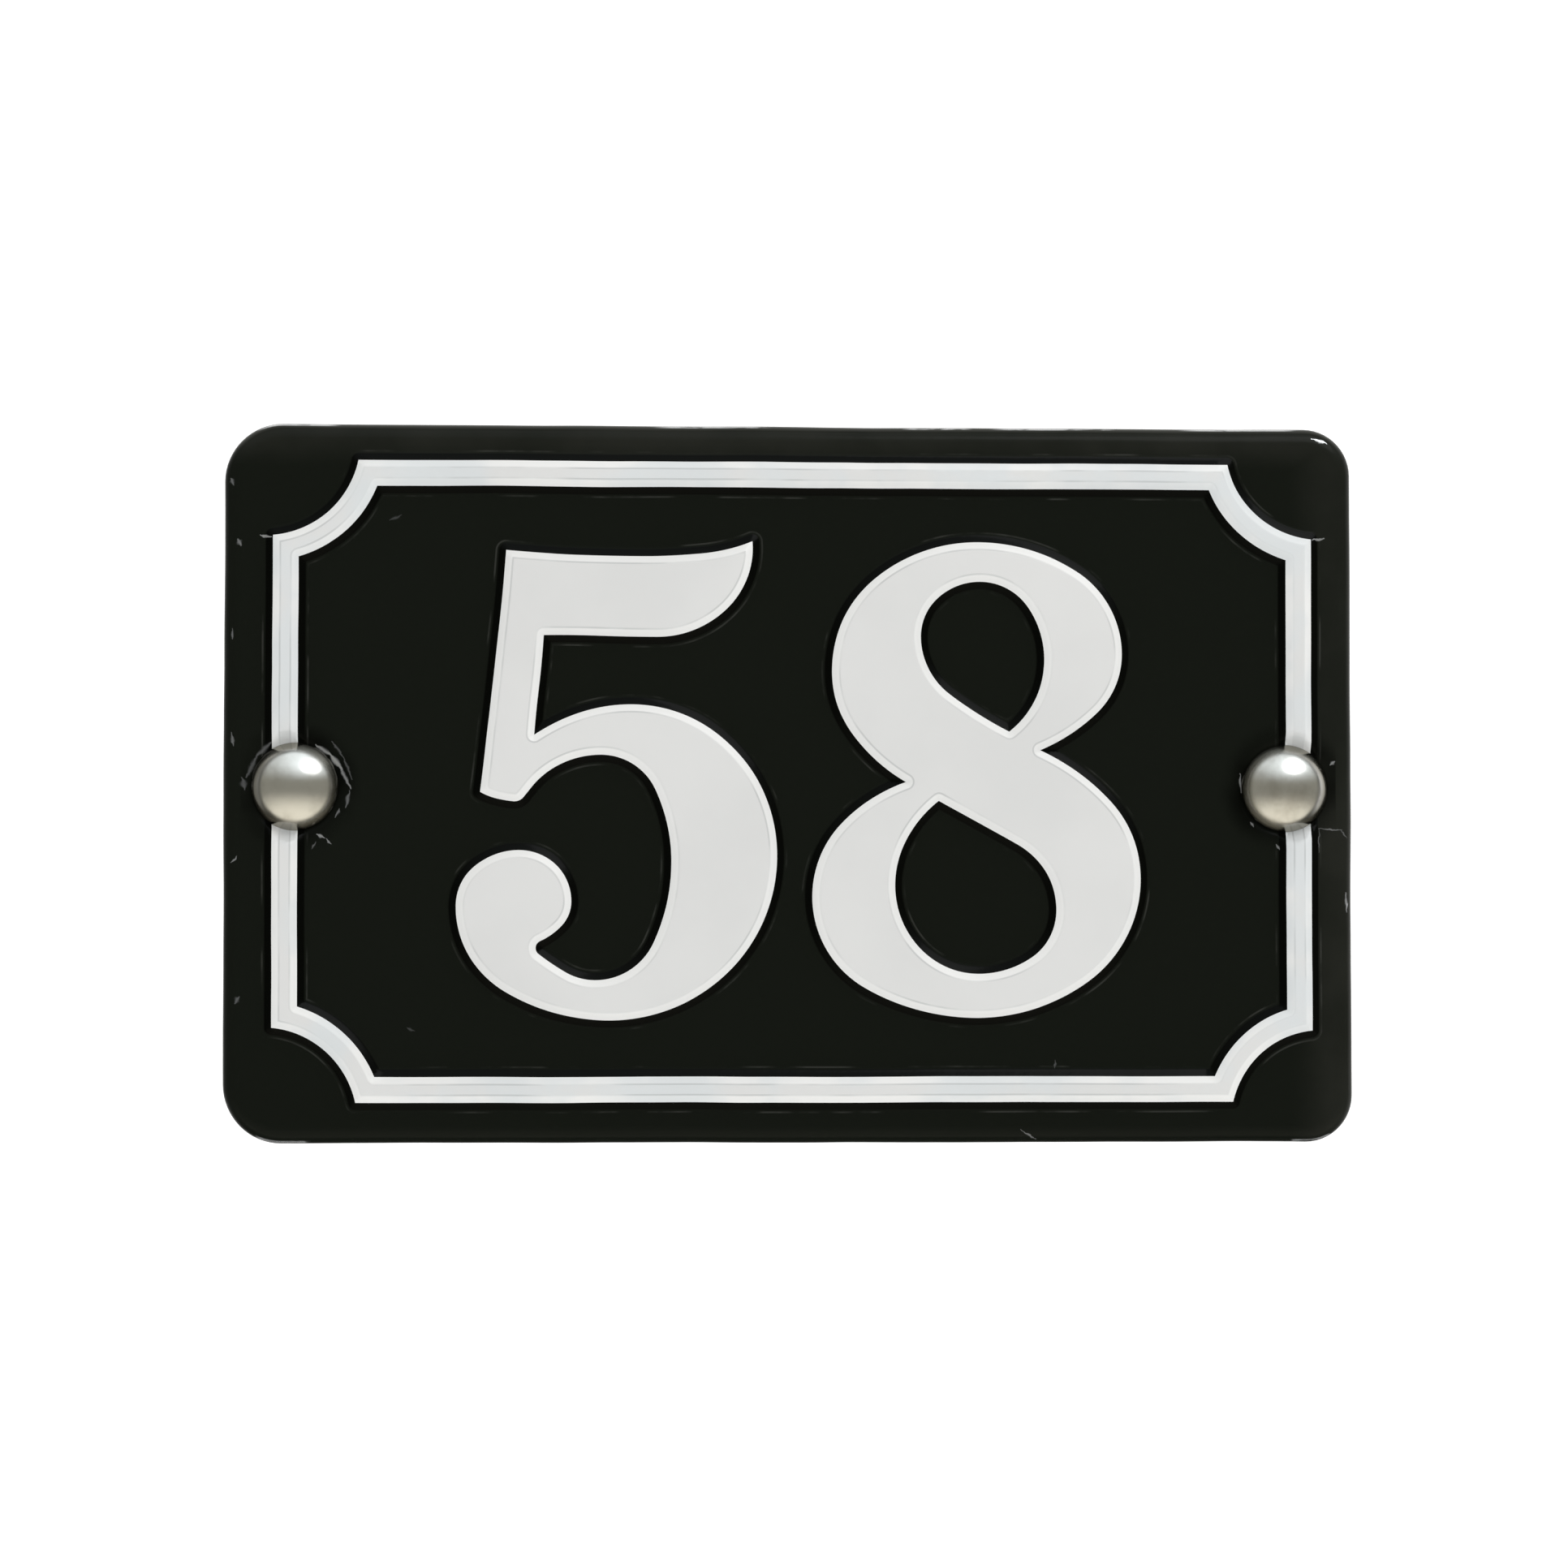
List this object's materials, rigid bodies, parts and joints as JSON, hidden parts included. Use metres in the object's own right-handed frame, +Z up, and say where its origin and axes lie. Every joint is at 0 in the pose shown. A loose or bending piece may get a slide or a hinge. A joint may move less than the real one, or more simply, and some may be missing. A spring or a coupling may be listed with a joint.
{
  "type": "house number plaque",
  "caption": "Pressed metal number plate with a raised border and numerals, fixed flat to a wall by countersunk screws under domed caps.",
  "frame": {"origin": "midway between the two fixing screws, on the plane of the wall", "axes": "+X to the right and +Z up as a visitor sees the front, +Y into the wall"},
  "size_m": [0.1549, 0.0358, 0.0983],
  "materials": {
    "lacquered_sheet": "gloss black lacquer on aluminium sheet, with the relief in gloss white",
    "zinc_plated_steel": "bright zinc plate",
    "polished_cap": "mirror polished"
  },
  "bodies": {
    "root": {"plate": "lacquered_sheet", "left_screw": "zinc_plated_steel", "right_screw": "zinc_plated_steel", "left_cap": "polished_cap", "right_cap": "polished_cap"}
  },
  "joints": []
}
